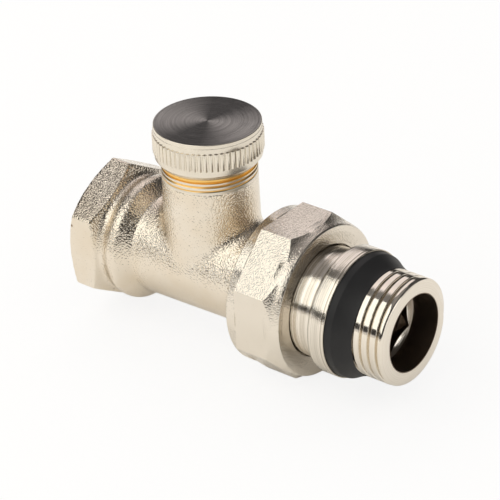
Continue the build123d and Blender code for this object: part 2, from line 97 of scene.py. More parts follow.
# Forged brass body, grit-blasted and nickel plated: the drawing's own solid with its
# edges softened as a forging's are. The boss above its first thread groove and the
# socket's threaded wall are cut away, and come back as the threaded pieces below.
SAME_SPOT = 0.001 * MM
WELD = 0.002 * MM
BODY_VOXEL = 0.3 * MM
BODY_SMOOTHING = 3
BOSS_THREAD_LOW = 19.3 * MM
BOSS_THREAD_CORE = 7.2 * MM
BOSS_CLEAR = 12 * MM
SOCKET_SHELL = 10.95 * MM
SOCKET_THREAD_INNER_END = -13.55 * MM
WITHIN_BORE = 2 * MM
PAST_END = 1 * MM
POCK_BROWN = (0.24, 0.15, 0.07, 1)
POCKS_TO_GRAINS = 0.12
POCK_EDGE = 0.05, 0.13
POCK_DEPTH = 1.2
CLOUD_FINENESS = 140.0
PATTERN_MIDDLE = 0.3, 0.7


def place(mesh, name):
    """Put a finished mesh into the scene."""
    made = bpy.data.objects.new(name, mesh)
    scene.collection.objects.link(made)
    return made


@contextmanager
def editing(mesh):
    """Open a mesh's points and faces for a change, then write them back."""
    shape = bmesh.new()
    shape.from_mesh(mesh)
    yield shape
    shape.to_mesh(mesh)
    shape.free()


def welded_copy(name, new_name):
    """The drawing's solid as one closed mesh of its own."""
    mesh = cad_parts[name].data.copy()
    mesh.materials.clear()
    with editing(mesh) as shape:
        bmesh.ops.remove_doubles(shape, verts=shape.verts, dist=WELD)
    return place(mesh, new_name)


def turned(name, outline, axis, around=128):
    """Closed mesh turned about X or Z from (along, radius) points, given in order."""
    rings = []
    mesh = bpy.data.meshes.new(name)
    with editing(mesh) as shape:
        for along, radius in outline:
            ring = []
            for step in range(around):
                angle = 2 * math.pi * step / around
                wide, tall = radius * math.cos(angle), radius * math.sin(angle)
                spot = (along, wide, tall) if axis == "X" else (wide, tall, along)
                ring.append(shape.verts.new(spot))
            rings.append(ring)
        for first, second in zip(rings, rings[1:] + rings[:1]):
            for step in range(around):
                ahead = (step + 1) % around
                corners = (first[step], first[ahead], second[ahead], second[step])
                shape.faces.new(corners)
        bmesh.ops.remove_doubles(shape, verts=shape.verts, dist=SAME_SPOT)
        bmesh.ops.recalc_face_normals(shape, faces=shape.faces)
    return place(mesh, name)


def apply_modifiers(piece):
    """Replace the piece's mesh by what its modifiers make of it."""
    graph = bpy.context.evaluated_depsgraph_get()
    graph.update()
    mesh = bpy.data.meshes.new_from_object(piece.evaluated_get(graph))
    piece.modifiers.clear()
    piece.data = mesh


def cut(piece, cutter):
    """Cut one closed mesh out of another, then throw the cutter away."""
    boolean = piece.modifiers.new("cut", "BOOLEAN")
    boolean.operation = "DIFFERENCE"
    boolean.solver = "EXACT"
    boolean.object = cutter
    apply_modifiers(piece)
    bpy.data.objects.remove(cutter)


def cut_ring(piece, start, end, inner, outer, axis, around=128):
    """Cut a plain ring out of a piece."""
    cut(piece, turned("ring_cutter", [
        (start, inner),
        (start, outer),
        (end, outer),
        (end, inner),
    ], axis, around))


def soften(piece, voxel, rounds, pull=0.5):
    """Give a solid the soft edges of a forging."""
    remesh = piece.modifiers.new("remesh", "REMESH")
    remesh.mode = "VOXEL"
    remesh.voxel_size = voxel
    smooth = piece.modifiers.new("smooth", "SMOOTH")
    smooth.factor = pull
    smooth.iterations = rounds
    apply_modifiers(piece)


def shade(piece, angle=None):
    """Smooth shading, with edges sharper than the angle kept crisp."""
    piece.data.shade_smooth()
    if angle is not None:
        piece.data.set_sharp_from_angle(angle=math.radians(angle))


def finish_with(piece, material):
    """Give the piece one material."""
    piece.data.materials.clear()
    piece.data.materials.append(material)


def feed(tree, socket, value):
    """Set a socket to a value, or link it to the socket that feeds it."""
    if isinstance(value, bpy.types.NodeSocket):
        tree.links.new(value, socket)
    else:
        socket.default_value = value


def node(tree, kind, *inputs, **settings):
    """A new node; each input is a number or the socket that feeds it."""
    made = tree.nodes.new(kind)
    for name, value in settings.items():
        setattr(made, name, value)
    for socket, value in zip(made.inputs, inputs):
        if value is not None:
            feed(tree, socket, value)
    return made


def sum_of(tree, operation, *inputs):
    """One sum of arithmetic in a node tree."""
    return node(tree, "ShaderNodeMath", *inputs, operation=operation).outputs[0]


def joined(tree, x, y, z):
    """One place from three coordinates."""
    return node(tree, "ShaderNodeCombineXYZ", x, y, z).outputs[0]


def split(tree, spot):
    """The three coordinates of one place."""
    return node(tree, "ShaderNodeSeparateXYZ", spot).outputs


def object_spot(tree):
    """The place on the piece, in its own coordinates."""
    return tree.nodes.new("ShaderNodeTexCoord").outputs["Object"]


def from_axis(tree, first, second):
    """Distance from an axis, by the two coordinates across it."""
    squares = [sum_of(tree, "MULTIPLY", side, side) for side in (first, second)]
    return sum_of(tree, "SQRT", sum_of(tree, "ADD", *squares))


def noise(tree, spot, scale, detail, share):
    """Uneven rise and fall over a surface."""
    made = node(tree, "ShaderNodeTexNoise", spot, None, scale, detail, share)
    return made.outputs["Fac"]


def spread(tree, value, low, high, first, last):
    """Map a range of values to another, and hold it at both ends."""
    return node(tree, "ShaderNodeMapRange", value, low, high, first, last).outputs[0]


def uneven(tree, pattern, low, high):
    """A value that follows a pattern between two limits."""
    return spread(tree, pattern, *PATTERN_MIDDLE, low, high)


def blend_colours(tree, factor, first, second):
    """Mix two colours by a mask."""
    mix = tree.nodes.new("ShaderNodeMix")
    mix.data_type = "RGBA"
    feed(tree, mix.inputs[0], factor)
    feed(tree, mix.inputs[6], first)
    feed(tree, mix.inputs[7], second)
    return mix.outputs[2]


def new_material(name):
    """A material and its node tree."""
    material = bpy.data.materials.new(name)
    material.use_nodes = True
    return material, material.node_tree


def finish_surface(material, colour, roughness, height, depth, strength=1.0, metal=1.0):
    """Join colour, roughness and relief to the material's shader."""
    tree = material.node_tree
    bump = node(tree, "ShaderNodeBump", strength, depth)
    tree.links.new(height, bump.inputs["Height"])
    inputs = tree.nodes["Principled BSDF"].inputs
    feed(tree, inputs["Base Color"], colour)
    feed(tree, inputs["Roughness"], roughness)
    feed(tree, inputs["Normal"], bump.outputs[0])
    inputs["Metallic"].default_value = metal
    return material


def blasted_grain():
    """Fine peaks and pits of a grit-blasted skin, with rare deeper pocks."""
    tree = bpy.data.node_groups.new("blasted grain", "ShaderNodeTree")
    for name, value in (("Grain size", 0.25 * MM), ("Pock share", 0.1)):
        tree.interface.new_socket(
            name, in_out="INPUT", socket_type="NodeSocketFloat"
        ).default_value = value
    for name in ("Height", "Pocks", "Clouds"):
        tree.interface.new_socket(name, in_out="OUTPUT", socket_type="NodeSocketFloat")
    given = tree.nodes.new("NodeGroupInput").outputs
    result = tree.nodes.new("NodeGroupOutput").inputs
    spot = object_spot(tree)
    fineness = sum_of(tree, "DIVIDE", 1.0, given["Grain size"])
    peaks = noise(tree, spot, fineness, 1.0, 0.5)
    pock_scale = sum_of(tree, "MULTIPLY", fineness, POCKS_TO_GRAINS)
    cells = node(tree, "ShaderNodeTexVoronoi", spot, None, pock_scale).outputs
    edge = spread(tree, cells["Distance"], *POCK_EDGE, 1.0, 0.0)
    rare = node(tree, "ShaderNodeSeparateColor", cells["Color"]).outputs[0]
    chosen = sum_of(tree, "LESS_THAN", rare, given["Pock share"])
    pocks = sum_of(tree, "MULTIPLY", edge, chosen)
    height = sum_of(tree, "MULTIPLY_ADD", pocks, -POCK_DEPTH, peaks)
    feed(tree, result["Height"], height)
    feed(tree, result["Pocks"], pocks)
    feed(tree, result["Clouds"], noise(tree, spot, CLOUD_FINENESS, 3.0, 0.6))
    return tree


grain_group = blasted_grain()


def blasted(tree, grain_size, pock_share):
    """The blasted skin's height, pocks and clouds for one material."""
    grain = node(tree, "ShaderNodeGroup", node_tree=grain_group)
    grain.inputs["Grain size"].default_value = grain_size
    grain.inputs["Pock share"].default_value = pock_share
    return grain.outputs["Height"], grain.outputs["Pocks"], grain.outputs["Clouds"]


def blasted_nickel(name, grain_size, depth, roughness, pock_share, light, deep):
    """Satin nickel over a blasted forging, warm where it is thin."""
    material, tree = new_material(name)
    height, pocks, clouds = blasted(tree, grain_size, pock_share)
    warm = blend_colours(tree, clouds, deep, light)
    colour = blend_colours(tree, pocks, warm, POCK_BROWN)
    rough = uneven(tree, clouds, roughness - 0.03, roughness + 0.04)
    return finish_surface(material, colour, rough, height, depth)


forged_nickel = blasted_nickel(
    "forged_nickel", grain_size=0.34 * MM, depth=0.155 * MM, roughness=0.06,
    pock_share=0.10, light=(0.86, 0.81, 0.73, 1), deep=(0.74, 0.64, 0.50, 1),
)

body = welded_copy("valve_body", "forged_body")
boss_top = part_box("valve_body")[1].z
socket_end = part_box("valve_body")[0].x
cut_ring(
    body, BOSS_THREAD_LOW, boss_top + PAST_END, BOSS_THREAD_CORE, BOSS_CLEAR, "Z"
)
cut_ring(
    body, socket_end - PAST_END, SOCKET_THREAD_INNER_END, WITHIN_BORE, SOCKET_SHELL, "X"
)
soften(body, BODY_VOXEL, BODY_SMOOTHING)
shade(body)
finish_with(body, forged_nickel)
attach(body, "valve")
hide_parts("valve_body")


# The boss's fine right-hand thread for the cap, cut after plating, so its grooves show
# bare brass between nickel crests. It is a sleeve whose wall rises and falls by the
# pitch as it goes round and fades out at its start, and so are the two threads below.
X_TO_Z = Matrix.Rotation(math.radians(-90), 4, "Y")
BOSS_PITCH = 0.92 * MM
BOSS_CREST = 9.28 * MM
BOSS_BRASS_Z = 21.4 * MM
BOSS_BRASS_FADE = 0.1 * MM
BOSS_OVERLAP = 0.2 * MM
BARE_BELOW_CREST = 0.10 * MM, 0.03 * MM
THREAD_CRISP = 40
BRASS_DEEP = (0.86, 0.50, 0.13, 1)
BRASS_LIGHT = (0.94, 0.64, 0.24, 1)
SATIN_DEEP = (0.74, 0.68, 0.58, 1)


def open_tree(name, lengths, counts):
    """A geometry tree that takes sizes and a metal; returns it and what it is given."""
    tree = bpy.data.node_groups.new(name, "GeometryNodeTree")
    new_socket = tree.interface.new_socket
    for sizes, kind in ((lengths, "NodeSocketFloat"), (counts, "NodeSocketInt")):
        for label, value in sizes.items():
            new_socket(label, in_out="INPUT", socket_type=kind).default_value = value
    new_socket("Metal", in_out="INPUT", socket_type="NodeSocketMaterial")
    new_socket("Geometry", in_out="OUTPUT", socket_type="NodeSocketGeometry")
    return tree, tree.nodes.new("NodeGroupInput").outputs


def close_tree(tree, given, shape):
    """Make the tree's shape real, give it its metal and hand it out."""
    whole = node(tree, "GeometryNodeRealizeInstances", shape).outputs[0]
    metal = node(tree, "GeometryNodeSetMaterial", whole)
    feed(tree, metal.inputs["Material"], given["Metal"])
    node(tree, "NodeGroupOutput", metal.outputs[0])


def point_place(tree):
    """The three coordinates of each point of a mesh."""
    return split(tree, node(tree, "GeometryNodeInputPosition").outputs[0])


def threaded_sleeve():
    """Geometry tree of a threaded sleeve along X, closed all round."""
    tree, given = open_tree(
        "threaded sleeve",
        {
            "Start": 0.0, "End": 0.01, "Crest": 0.01, "Depth": 0.001, "Pitch": 0.001,
            "Wall": 0.008, "Fade": 0.001, "Lead": 0.001, "End round": 0.0001,
            "Flat": 0.2, "Root flat": 0.05,
        },
        {"Around": 180, "Along": 120},
    )
    maths = partial(sum_of, tree)

    # A flat sheet: one side goes once round, the other along the sleeve's skin and
    # back over its ends and its inner wall.
    columns = maths("ADD", given["Around"], 1)
    rows = maths("ADD", given["Along"], 4)
    sheet = node(tree, "GeometryNodeMeshGrid", 1.0, 1.0, columns, rows).outputs["Mesh"]
    side, front, _ = point_place(tree)
    turn = maths("ADD", side, 0.5)
    last_row = maths("ADD", given["Along"], 3)
    row = maths("MULTIPLY", maths("ADD", front, 0.5), last_row)
    share = maths("DIVIDE", maths("SUBTRACT", row, 1.0), given["Along"])
    share = node(tree, "ShaderNodeClamp", share).outputs[0]
    closing = maths("GREATER_THAN", row, maths("ADD", given["Along"], 2.5))
    share = maths("MULTIPLY", share, maths("SUBTRACT", 1.0, closing))
    length = maths("SUBTRACT", given["End"], given["Start"])
    along = maths("MULTIPLY_ADD", share, length, given["Start"])

    # The groove's depth by how far round and along a point is.
    phase = maths("SUBTRACT", maths("DIVIDE", along, given["Pitch"]), turn)
    wave = maths("MULTIPLY", maths("PINGPONG", phase, 0.5), 2.0)
    high = maths("SUBTRACT", 1.0, given["Flat"])
    cutting = node(
        tree, "ShaderNodeMapRange", wave, given["Root flat"], high, 1.0, 0.0,
        interpolation_type="SMOOTHSTEP",
    ).outputs[0]
    from_start = maths("ABSOLUTE", maths("SUBTRACT", along, given["Start"]))
    run_in = maths("DIVIDE", from_start, given["Fade"])
    run_in = node(tree, "ShaderNodeClamp", run_in).outputs[0]
    size = maths("ABSOLUTE", given["Depth"])
    groove = maths("MULTIPLY", maths("MULTIPLY", cutting, size), run_in)

    # The free end is turned down and its edge rounded.
    from_end = maths("ABSOLUTE", maths("SUBTRACT", given["End"], along))
    lead = maths("SUBTRACT", given["Lead"], from_end)
    short = maths("SUBTRACT", given["End round"], from_end)
    short = maths("MAXIMUM", short, 0.0)
    square = maths("MULTIPLY", given["End round"], given["End round"])
    chord = maths("SUBTRACT", square, maths("MULTIPLY", short, short))
    rounding = maths("SUBTRACT", given["End round"], maths("SQRT", chord))
    removed = maths("ADD", maths("MAXIMUM", groove, lead), rounding)

    # A negative depth cuts outwards, for an inside thread.
    outward = maths("SIGN", given["Depth"])
    skin = maths("SUBTRACT", given["Crest"], maths("MULTIPLY", outward, removed))
    past_skin = maths("GREATER_THAN", row, maths("ADD", given["Along"], 1.5))
    on_wall = maths("ADD", maths("LESS_THAN", row, 0.5), past_skin)
    step_in = maths("MULTIPLY", on_wall, maths("SUBTRACT", given["Wall"], skin))
    radius = maths("ADD", skin, step_in)
    angle = maths("MULTIPLY", turn, 2 * math.pi)
    wide = maths("MULTIPLY", radius, maths("COSINE", angle))
    tall = maths("MULTIPLY", radius, maths("SINE", angle))
    spot = joined(tree, along, wide, tall)
    rolled = node(tree, "GeometryNodeSetPosition", sheet, None, spot).outputs[0]
    closed = node(tree, "GeometryNodeMergeByDistance", rolled)
    closed.inputs["Distance"].default_value = SAME_SPOT
    close_tree(tree, given, closed.outputs[0])
    return tree


sleeve_tree = threaded_sleeve()


def grow(name, tree, metal, sizes):
    """Run a geometry tree with the given sizes and keep its mesh."""
    made = place(bpy.data.meshes.new(name), name)
    modifier = made.modifiers.new("tree", "NODES")
    modifier.node_group = tree
    for socket in tree.interface.items_tree:
        if socket.item_type != "SOCKET" or socket.in_out != "INPUT":
            continue
        if socket.name in sizes:
            modifier[socket.identifier] = sizes[socket.name]
        if socket.name == "Metal":
            modifier[socket.identifier] = metal
    apply_modifiers(made)
    with editing(made.data) as shape:
        bmesh.ops.remove_doubles(shape, verts=shape.verts, dist=SAME_SPOT)
        bmesh.ops.recalc_face_normals(shape, faces=shape.faces)
    return made


def cut_brass_thread():
    """Nickel on the crests, brass where the thread is cut, all brass higher up."""
    material, tree = new_material("plated_thread")
    height, _, clouds = blasted(tree, grain_size=0.3 * MM, pock_share=0.04)
    x, y, z = split(tree, object_spot(tree))
    radius = from_axis(tree, x, y)
    bare_up_to, plated_from = (BOSS_CREST - depth for depth in BARE_BELOW_CREST)
    cut_deep = spread(tree, radius, bare_up_to, plated_from, 1.0, 0.0)
    all_brass_z = BOSS_BRASS_Z + BOSS_BRASS_FADE
    near_cap = spread(tree, z, BOSS_BRASS_Z, all_brass_z, 0.0, 1.0)
    bare = sum_of(tree, "MAXIMUM", cut_deep, near_cap)
    nickel = blend_colours(tree, clouds, SATIN_DEEP, (0.80, 0.75, 0.66, 1))
    brass = blend_colours(tree, clouds, BRASS_DEEP, BRASS_LIGHT)
    colour = blend_colours(tree, bare, nickel, brass)
    return finish_surface(
        material, colour, roughness=0.3, height=height, depth=0.02 * MM, strength=0.6
    )


plated_thread = cut_brass_thread()
boss_thread = grow("boss_thread", sleeve_tree, plated_thread, {
    "Start": BOSS_THREAD_LOW - BOSS_OVERLAP, "End": boss_top, "Crest": BOSS_CREST,
    "Depth": 0.42 * MM, "Pitch": BOSS_PITCH, "Wall": 7.66 * MM, "Fade": 2.6 * MM,
    "Lead": 0.6 * MM, "Flat": 0.35, "Around": 192, "Along": 160,
})
boss_thread.data.transform(X_TO_Z)
shade(boss_thread, THREAD_CRISP)
finish_with(boss_thread, plated_thread)
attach(boss_thread, "valve")


# The pipe socket's inside thread, G1/2, cut in the forged hexagon after blasting and
# plated bright with it. It ends in the wall that the body's cut left.
PIPE_PITCH = 1.814 * MM
SOCKET_CREST = 9.316 * MM
PIPE_THREAD_DEPTH = 1.1 * MM
SOCKET_OVERLAP = 0.1 * MM
NICKEL_LIGHT = (0.84, 0.79, 0.71, 1)
NICKEL_DEEP = (0.77, 0.71, 0.62, 1)
BORE_PAINTED_SHADE = (0.20, 0.155, 0.12, 1)
BORE_FADE = 0.05 * MM
BORE_DULLNESS = 0.25
SCUFF_FINENESS = 2200.0
SCUFF_SHARE = 0.25
STREAK_RANGE = 0.35, 0.6


def turned_nickel(
    name, line_size, line_depth, roughness,
    light=NICKEL_LIGHT, deep=NICKEL_DEEP, dark_bore=0.0, axis="X",
):
    """Bright nickel with the fine lines that a lathe leaves, painted dark brown as shade
    and duller in a bore.
    """
    material, tree = new_material(name)
    spot = object_spot(tree)
    x, y, z = split(tree, spot)
    if axis == "X":
        along, across = x, from_axis(tree, y, z)
    else:
        along, across = z, from_axis(tree, x, y)
    lines = noise(tree, joined(tree, along, across, 0.0), 1.0 / line_size, 2.0, 0.6)
    scuffs = noise(tree, spot, SCUFF_FINENESS, 2.0, 0.6)
    streaks = spread(tree, lines, *STREAK_RANGE, 0.0, 1.0)
    plated = blend_colours(tree, streaks, deep, light)
    # Painted shade: inside the bore's radius the nickel's colour is turned to dark brown.
    inside = spread(tree, across, dark_bore, dark_bore + BORE_FADE, 1.0, 0.0)
    colour = blend_colours(tree, inside, plated, BORE_PAINTED_SHADE)
    height = sum_of(tree, "MULTIPLY_ADD", scuffs, SCUFF_SHARE, lines)
    rough = uneven(tree, lines, roughness - 0.04, roughness + 0.05)
    dull = sum_of(tree, "MULTIPLY_ADD", inside, BORE_DULLNESS, rough)
    return finish_surface(material, colour, dull, height, line_depth)


bright_nickel = turned_nickel(
    "turned_nickel", line_size=0.16 * MM, line_depth=0.006 * MM, roughness=0.09
)
socket_thread = grow("socket_thread", sleeve_tree, bright_nickel, {
    "Start": SOCKET_THREAD_INNER_END - SOCKET_OVERLAP, "End": socket_end,
    "Crest": SOCKET_CREST, "Depth": -PIPE_THREAD_DEPTH, "Pitch": PIPE_PITCH,
    "Wall": SOCKET_SHELL + SOCKET_OVERLAP, "Fade": 1.0 * MM, "Lead": 0.0, "Flat": 0.2,
    "Around": 192, "Along": 150,
})
shade(socket_thread, THREAD_CRISP)
finish_with(socket_thread, bright_nickel)
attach(socket_thread, "valve")


# Union nut, forged brass with eight flats, blasted and nickel plated, bored and
# faced afterwards. It is the drawing's solid with its edges broken by small rounds.
NUT_EDGE = 0.15 * MM
NUT_CRISP = 18
FLAT_WITHIN = math.radians(0.5)


def break_edges(piece, width, angle, segments=3, flat_faces=False):
    """Break the edges sharper than the angle with small rounds."""
    edge = piece.modifiers.new("edge", "BEVEL")
    edge.width = width
    edge.segments = segments
    edge.limit_method = "ANGLE"
    edge.angle_limit = math.radians(angle)
    edge.harden_normals = flat_faces
    apply_modifiers(piece)


nut = welded_copy("union_nut", "union_nut_forging")
with editing(nut.data) as shape:
    bmesh.ops.dissolve_limit(
        shape, angle_limit=FLAT_WITHIN, verts=shape.verts, edges=shape.edges
    )
shade(nut, NUT_CRISP)
break_edges(nut, NUT_EDGE, angle=40, segments=2, flat_faces=True)
nut_nickel = blasted_nickel(
    "nut_nickel", grain_size=0.26 * MM, depth=0.10 * MM, roughness=0.09,
    pock_share=0.03, light=(0.83, 0.775, 0.69, 1), deep=NICKEL_DEEP,
)
finish_with(nut, nut_nickel)
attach(nut, "nut")
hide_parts("union_nut")


# Tail, turned brass with bright nickel plate. Its radiator thread is a threaded
# sleeve, and the rest is the drawing's solid up to the bore's floor, with the key's
# hexagon broached through it.
TAIL_CREST = 10.478 * MM
TAIL_BORE = 7.6 * MM
TAIL_BORE_DEPTH = 7.4 * MM
TAIL_BORE_DARK = 7.75 * MM
TAIL_CLEAR = 14 * MM
TAIL_EDGE = 0.12 * MM
TAIL_CRISP = 30
TAIL_JOINT = 0.1 * MM
tail_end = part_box("tailpiece")[1].x
tail_thread_start = tail_end - TAIL_BORE_DEPTH + TAIL_JOINT

tube_nickel = turned_nickel(
    "tube_nickel", line_size=0.25 * MM, line_depth=0.05 * MM, roughness=0.13,
    light=(0.86, 0.81, 0.73, 1), deep=(0.60, 0.54, 0.45, 1), dark_bore=TAIL_BORE_DARK,
)
tail = welded_copy("tailpiece", "tail_body")
cut_ring(
    tail, tail_thread_start, tail_end + PAST_END, WITHIN_BORE, TAIL_CLEAR, "X", 192
)
break_edges(tail, TAIL_EDGE, angle=50, segments=2)
shade(tail, TAIL_CRISP)
finish_with(tail, tube_nickel)
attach(tail, "tail")
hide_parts("tailpiece")

tail_nickel = turned_nickel(
    "tail_nickel", line_size=0.16 * MM, line_depth=0.006 * MM, roughness=0.09,
    dark_bore=TAIL_BORE_DARK,
)
tail_thread = grow("tail_thread", sleeve_tree, tail_nickel, {
    "Start": tail_thread_start, "End": tail_end, "Crest": TAIL_CREST,
    "Depth": 0.75 * MM, "Pitch": PIPE_PITCH, "Wall": TAIL_BORE, "Fade": 0.6 * MM,
    "Lead": 0.25 * MM, "End round": 0.8 * MM, "Flat": 0.56, "Around": 240, "Along": 180,
})
shade(tail_thread, THREAD_CRISP)
finish_with(tail_thread, tail_nickel)
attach(tail_thread, "tail")


# Bright cone that the drill leaves at the bottom of the tail's bore, round the key's
# hexagon. It stands 1.9 mm nearer to the mouth than the drawing's flat floor.
KEY_FRONT = 41.9 * MM
KEY_CONE = 1.8 * MM
KEY_CORNER_R = 7.275 * MM
KEY_CONE_INNER_R = 4 * MM
KEY_SEAT = 0.2 * MM
KEY_OVERLAP = 0.05 * MM
KEY_TURN = Matrix.Rotation(math.radians(30), 4, "X")
shoulder_back = tail_thread_start - KEY_SEAT
shoulder_r = TAIL_BORE + KEY_OVERLAP
key_shoulder = turned("key_shoulder", [
    (shoulder_back, KEY_CONE_INNER_R),
    (shoulder_back, shoulder_r),
    (KEY_FRONT, shoulder_r),
    (KEY_FRONT - KEY_CONE, KEY_CONE_INNER_R),
], "X")
key_cutter = turned("key_cutter", [
    (tail_thread_start - PAST_END, 0.0),
    (tail_thread_start - PAST_END, KEY_CORNER_R),
    (KEY_FRONT + PAST_END, KEY_CORNER_R),
    (KEY_FRONT + PAST_END, 0.0),
], "X", around=6)
key_cutter.data.transform(KEY_TURN)
cut(key_shoulder, key_cutter)
shade(key_shoulder, TAIL_CRISP)
finish_with(key_shoulder, bright_nickel)
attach(key_shoulder, "tail")


# Backing ring, a turned and bright nickel plated cup that holds the radiator seal.
# Its edges are broken with small rounds and its outside keeps the tool's lines.
RING_BORE = 10.56 * MM
RING_RIM = 0.3 * MM
RING_EDGE = 0.22 * MM
TURNED_CRISP = 50
ring_low, ring_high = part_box("backing_ring")
ring_r = ring_high.z
recess_r = ring_r - RING_RIM
recess_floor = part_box("thread_seal")[0].x


def rounded_turning(name, outline, axis, round_size, around=160):
    """A turned piece whose edges are broken with small rounds."""
    made = turned(name, outline, axis, around)
    break_edges(made, round_size, angle=25)
    shade(made, TURNED_CRISP)
    return made


ring_nickel = turned_nickel(
    "ring_nickel", line_size=0.35 * MM, line_depth=0.09 * MM, roughness=0.12,
    light=(0.87, 0.82, 0.74, 1), deep=(0.50, 0.45, 0.37, 1),
)
ring = rounded_turning("seal_backing_ring", [
    (ring_low.x, RING_BORE),
    (ring_low.x, ring_r),
    (ring_high.x, ring_r),
    (ring_high.x, recess_r),
    (recess_floor, recess_r),
    (recess_floor, RING_BORE),
], "X", RING_EDGE)
finish_with(ring, ring_nickel)
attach(ring, "tail")
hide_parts("backing_ring")


# Radiator seal, moulded black rubber in the ring's recess, with a hollow taper down to
# the thread and the faint rings of its mould. It covers the thread's first turns, so it
# reaches 2 mm further out along them than the drawing's plain ring does.
SEAL_BORE = 10.49 * MM
SEAL_FRONT = 40.9 * MM
SEAL_TAPER = 3.65 * MM
SEAL_SHOULDER = 12.13 * MM
SEAL_TIP = 10.55 * MM
SEAL_HOLLOW = 1.45
SEAL_STEPS = 12
SEAL_EDGE = 0.1 * MM
SEAL_STANDS_OUT = 0.1 * MM
RUBBER_DEEP = (0.010, 0.010, 0.011, 1)
RUBBER_LIGHT = (0.020, 0.020, 0.021, 1)
RUBBER_ROUGHNESS = 0.42, 0.52
RUBBER_SHEEN = 0.28
MOULD_RINGS = 3200.0
MOULD_RING_HEIGHT = 1.5
RUBBER_GRAIN = 4000.0
RUBBER_PATCHES = 160.0


def moulded_rubber():
    """Matte black rubber with faint rings and dust-fine grain."""
    material, tree = new_material("black_rubber")
    spot = object_spot(tree)
    along = split(tree, spot)[0]
    rings = noise(tree, joined(tree, along, 0.0, 0.0), MOULD_RINGS, 2.0, 0.6)
    grain = noise(tree, spot, RUBBER_GRAIN, 2.0, 0.6)
    patches = noise(tree, spot, RUBBER_PATCHES, 2.0, 0.5)
    colour = blend_colours(tree, patches, RUBBER_DEEP, RUBBER_LIGHT)
    height = sum_of(tree, "MULTIPLY_ADD", rings, MOULD_RING_HEIGHT, grain)
    rough = uneven(tree, patches, *RUBBER_ROUGHNESS)
    sheen = tree.nodes["Principled BSDF"].inputs["Specular IOR Level"]
    sheen.default_value = RUBBER_SHEEN
    return finish_surface(
        material, colour, rough, height, depth=0.012 * MM, strength=0.7, metal=0.0
    )


black_rubber = moulded_rubber()
seal_outline = [
    (recess_floor, SEAL_BORE),
    (recess_floor, recess_r),
    (ring_high.x + SEAL_STANDS_OUT, recess_r),
]
for step in range(SEAL_STEPS + 1):
    left = 1 - step / SEAL_STEPS
    radius = SEAL_TIP + (SEAL_SHOULDER - SEAL_TIP) * left ** SEAL_HOLLOW
    seal_outline.append((SEAL_FRONT - SEAL_TAPER * left, radius))
seal_outline.append((SEAL_FRONT, SEAL_BORE))
seal = rounded_turning("radiator_seal", seal_outline, "X", SEAL_EDGE)
finish_with(seal, black_rubber)
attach(seal, "tail")
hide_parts("thread_seal")


# Screw cap over the spindle: a turned cup in satin nickel with a knurled grip, its top
# faced on the lathe and painted dark as a reflection, with two painted highlight sectors.
# The grip's bars stand round the band.
CAP_FACE_R = 10.34 * MM
CAP_GRIP_R = 10.67 * MM
CAP_GRIP_HIGH = 28.3 * MM
CAP_GRIP_LOW = CAP_GRIP_HIGH - 3.65 * MM
CAP_FOOT_R = 9.6 * MM
CAP_SKIRT_HIGH = 23.5 * MM
CAP_SKIRT_R = 10.35 * MM
CAP_RIM_HEIGHT = 0.8 * MM
CAP_RIM_STEP = 0.06 * MM
CAP_EDGE = 0.08 * MM
CAP_HOLLOW = 9.34 * MM
CAP_HOLLOW_DRAFT = 0.05 * MM
CAP_ROOF = 1.4 * MM
GRIP_BARS = 60
GRIP_BAR_WIDTH = 0.80 * MM
GRIP_BAR_HEIGHT = 0.32 * MM
GRIP_BAR_CROWN = 0.75
GRIP_BAR_EDGE = 0.06 * MM
GRIP_BAR_GAP = 0.05 * MM
SATIN_LIGHT = (0.82, 0.77, 0.68, 1)
# Painted reflection and painted highlight of the turned face, each from its marks' low to
# high.
FACE_PAINTED_DARK_REFLECTION = (0.006, 0.006, 0.006, 1), (0.10, 0.097, 0.094, 1)
FACE_PAINTED_HIGHLIGHT = (0.07, 0.068, 0.066, 1), (0.50, 0.485, 0.465, 1)
FACE_BELOW_TOP = 0.10 * MM, 0.04 * MM
FACE_FROM_RIM = 0.12 * MM, 0.06 * MM
FACE_MARKS = 2800.0
FACE_MARK_DRIFT = 0.05
FACE_MARK_HEIGHT = 9.0
HIGHLIGHT_SECTOR_X, HIGHLIGHT_SECTOR_Y = 0.98, 0.20
HIGHLIGHT_SECTOR_FROM = 0.1
CAP_CLOUDS = 300.0
CAP_GRAIN = 3500.0
CAP_GRAIN_HEIGHT = 0.3
CAP_ROUGHNESS = 0.27, 0.3
cap_low, cap_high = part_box("cap")


